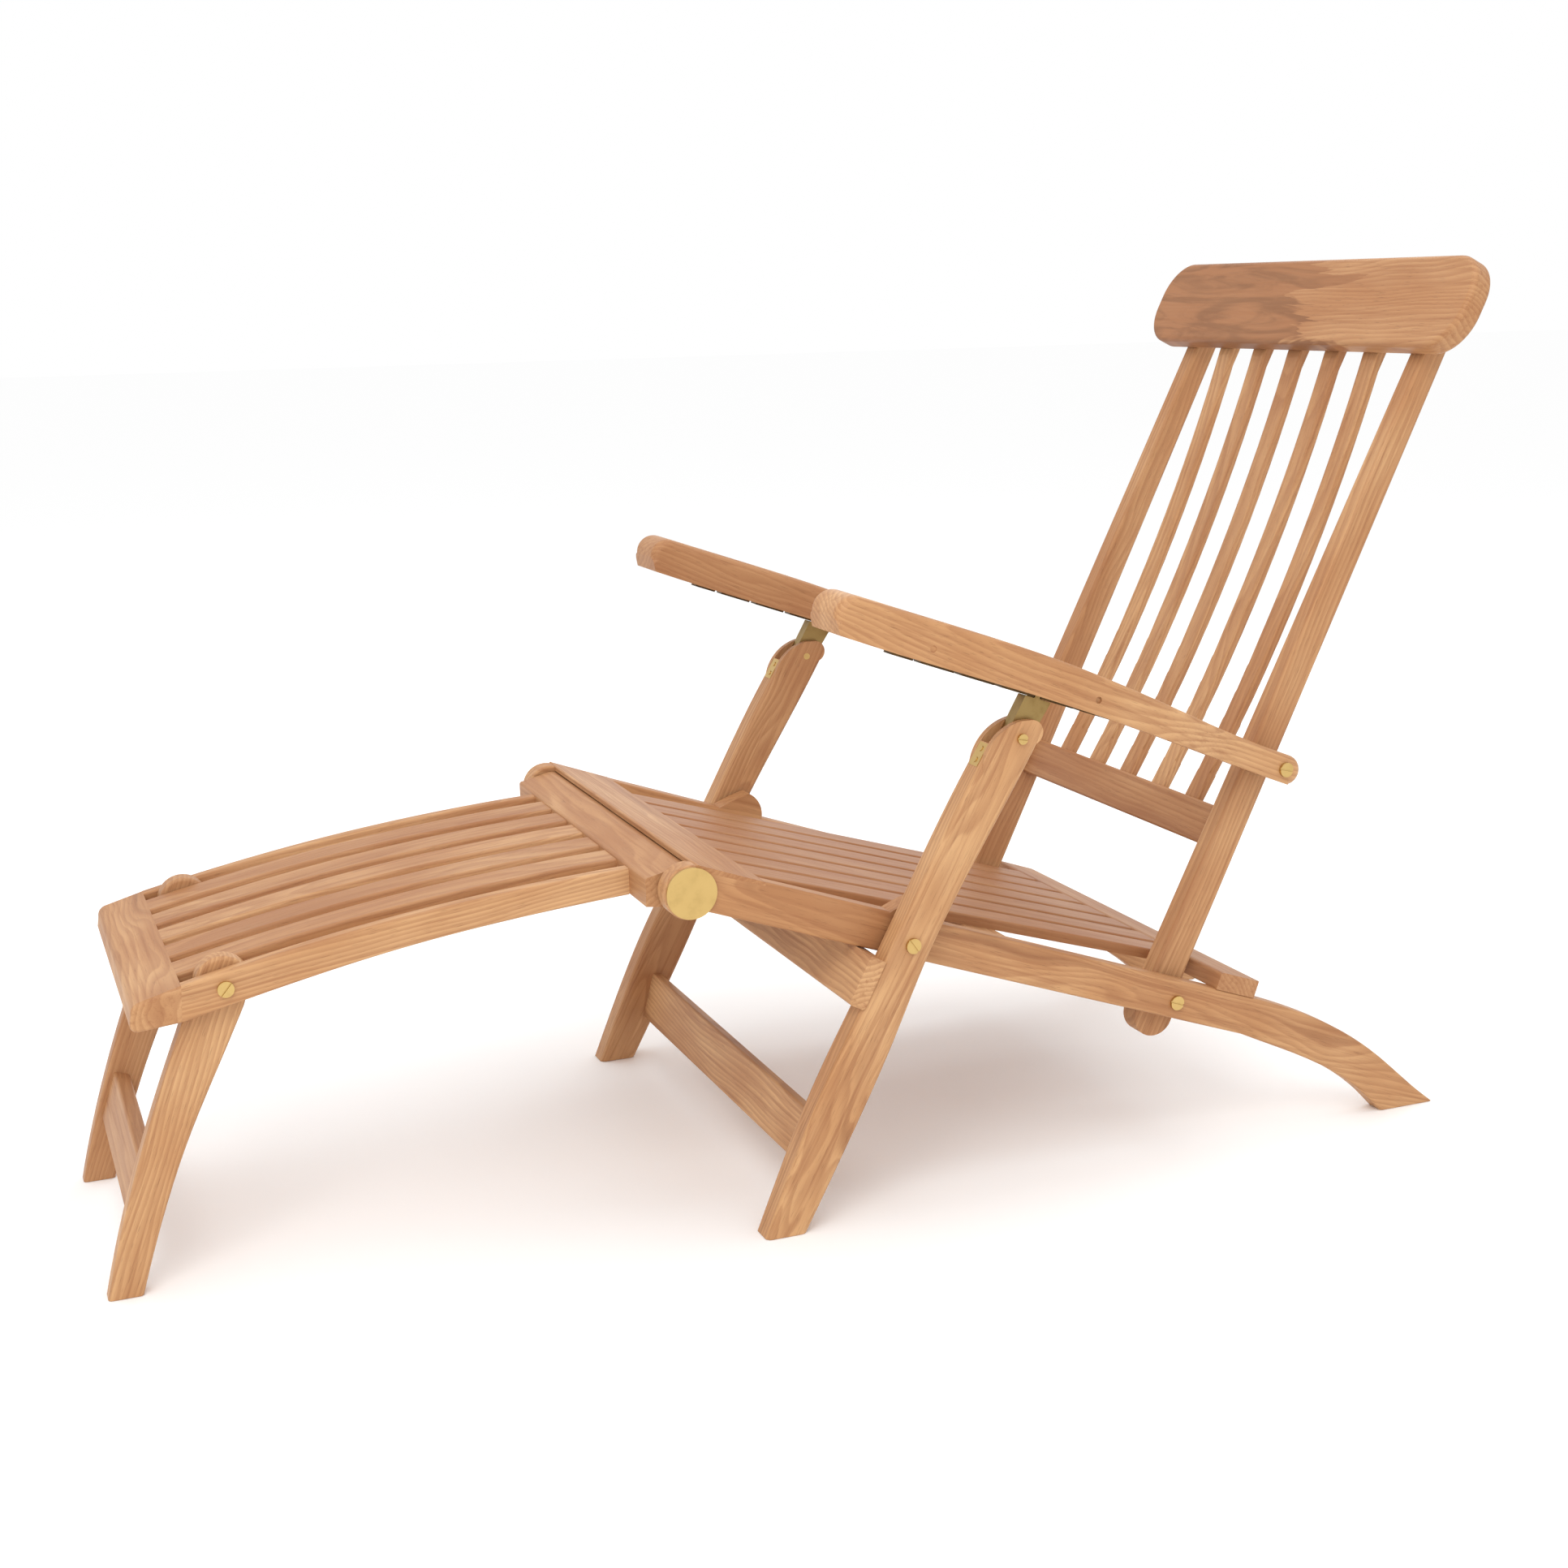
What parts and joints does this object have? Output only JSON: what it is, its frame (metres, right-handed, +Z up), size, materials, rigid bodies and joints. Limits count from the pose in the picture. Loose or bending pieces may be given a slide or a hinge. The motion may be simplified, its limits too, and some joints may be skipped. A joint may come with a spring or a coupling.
{
  "type": "folding deck chair",
  "caption": "Folding slatted wooden deck chair with a reclined back, sculpted arms hooked on the front legs and a hinged footrest on its own folding legs",
  "frame": {"origin": "on the floor, under the middle of the chair's bounding box", "axes": "+X to the sitter's left, +Y from the footrest towards the head of the chair, +Z up"},
  "size_m": [0.638, 1.5096, 0.9703],
  "materials": {
    "teak_frame": "oiled teak, satin, honey brown with fine lengthwise grain",
    "teak_slats": "oiled teak slats, satin, pale to pinkish brown",
    "teak_headrest": "oiled teak board with strong figure, satin, darker reddish brown",
    "brass": "satin brass, slightly dulled"
  },
  "bodies": {
    "seat_frame": {"seat_batten": "teak_frame", "seat_front_board": "teak_frame", "seat_rail_left": "teak_frame", "seat_rail_right": "teak_frame", "seat_rear_board": "teak_frame", "seat_slat_1": "teak_slats", "seat_slat_2": "teak_slats", "seat_slat_3": "teak_slats", "seat_slat_4": "teak_slats", "seat_slat_5": "teak_slats", "seat_slat_6": "teak_slats", "seat_slat_7": "teak_slats", "leg_pivot_bolts": "brass", "back_pivot_bolts": "brass", "pivot_nuts": "brass", "pivot_spacers": "brass", "footrest_hinge_caps": "brass"},
    "leg_frame": {"front_leg_left": "teak_frame", "front_leg_right": "teak_frame", "seat_support_bar": "teak_frame", "lower_stretcher": "teak_frame", "hook_pins": "brass", "fork_straps": "brass"},
    "left_hook": {"hook_left": "brass"},
    "right_hook": {"hook_right": "brass"},
    "back_frame": {"back_stile_left": "teak_frame", "back_stile_right": "teak_frame", "back_lower_rail": "teak_frame", "back_slat_1": "teak_slats", "back_slat_2": "teak_slats", "back_slat_3": "teak_slats", "back_slat_4": "teak_slats", "back_slat_5": "teak_slats", "headrest": "teak_headrest", "arm_pivot_bolts": "brass", "arm_pivot_nuts": "brass", "arm_spacers": "brass", "headrest_screws": "brass"},
    "left_arm": {"arm_left": "teak_frame", "notch_rail_left": "brass", "arm_plugs_left": "teak_frame"},
    "right_arm": {"arm_right": "teak_frame", "notch_rail_right": "brass", "arm_plugs_right": "teak_frame"},
    "footrest": {"footrest_rail_left": "teak_frame", "footrest_rail_right": "teak_frame", "footrest_slat_1": "teak_slats", "footrest_slat_2": "teak_slats", "footrest_slat_3": "teak_slats", "footrest_slat_4": "teak_slats", "footrest_slat_5": "teak_slats", "footrest_end_board": "teak_frame", "footrest_inner_board": "teak_frame", "footrest_leg_bolts": "brass"},
    "footrest_legs": {"footrest_leg_left": "teak_frame", "footrest_leg_right": "teak_frame", "footrest_leg_rail": "teak_frame"}
  },
  "joints": [
    {"name": "leg_fold", "type": "hinge", "parent": "seat_frame", "child": "leg_frame", "pos_m": [0, 0.0468, 0.293], "axis": [1, 0, 0], "range_deg": [0, 85]},
    {"name": "back_fold", "type": "hinge", "parent": "seat_frame", "child": "back_frame", "pos_m": [0, 0.3832, 0.1725], "axis": [1, 0, 0], "range_deg": [0, 71]},
    {"name": "left_arm_swing", "type": "hinge", "parent": "back_frame", "child": "left_arm", "pos_m": [0, 0.5012, 0.4285], "axis": [1, 0, 0], "range_deg": [-84.5, 0]},
    {"name": "right_arm_swing", "type": "hinge", "parent": "back_frame", "child": "right_arm", "pos_m": [0, 0.5012, 0.4285], "axis": [1, 0, 0], "range_deg": [-84.5, 0]},
    {"name": "left_hook_swing", "type": "hinge", "parent": "leg_frame", "child": "left_hook", "pos_m": [0, 0.1712, 0.4965], "axis": [1, 0, 0], "range_deg": [-81, 0]},
    {"name": "right_hook_swing", "type": "hinge", "parent": "leg_frame", "child": "right_hook", "pos_m": [0, 0.1712, 0.4965], "axis": [1, 0, 0], "range_deg": [-81, 0]},
    {"name": "footrest_fold", "type": "hinge", "parent": "seat_frame", "child": "footrest", "pos_m": [0, -0.1773, 0.36686], "axis": [1, 0, 0], "range_deg": [0, 80]},
    {"name": "footrest_leg_fold", "type": "hinge", "parent": "footrest", "child": "footrest_legs", "pos_m": [0, -0.6223, 0.306], "axis": [1, 0, 0], "range_deg": [0, 120]}
  ],
  "couplings": [
    {"joint": "back_fold", "follows": "leg_fold", "ratio": 0.83},
    {"joint": "left_arm_swing", "follows": "leg_fold", "ratio": -0.99},
    {"joint": "right_arm_swing", "follows": "leg_fold", "ratio": -0.99},
    {"joint": "left_hook_swing", "follows": "leg_fold", "ratio": -0.95},
    {"joint": "right_hook_swing", "follows": "leg_fold", "ratio": -0.95}
  ]
}
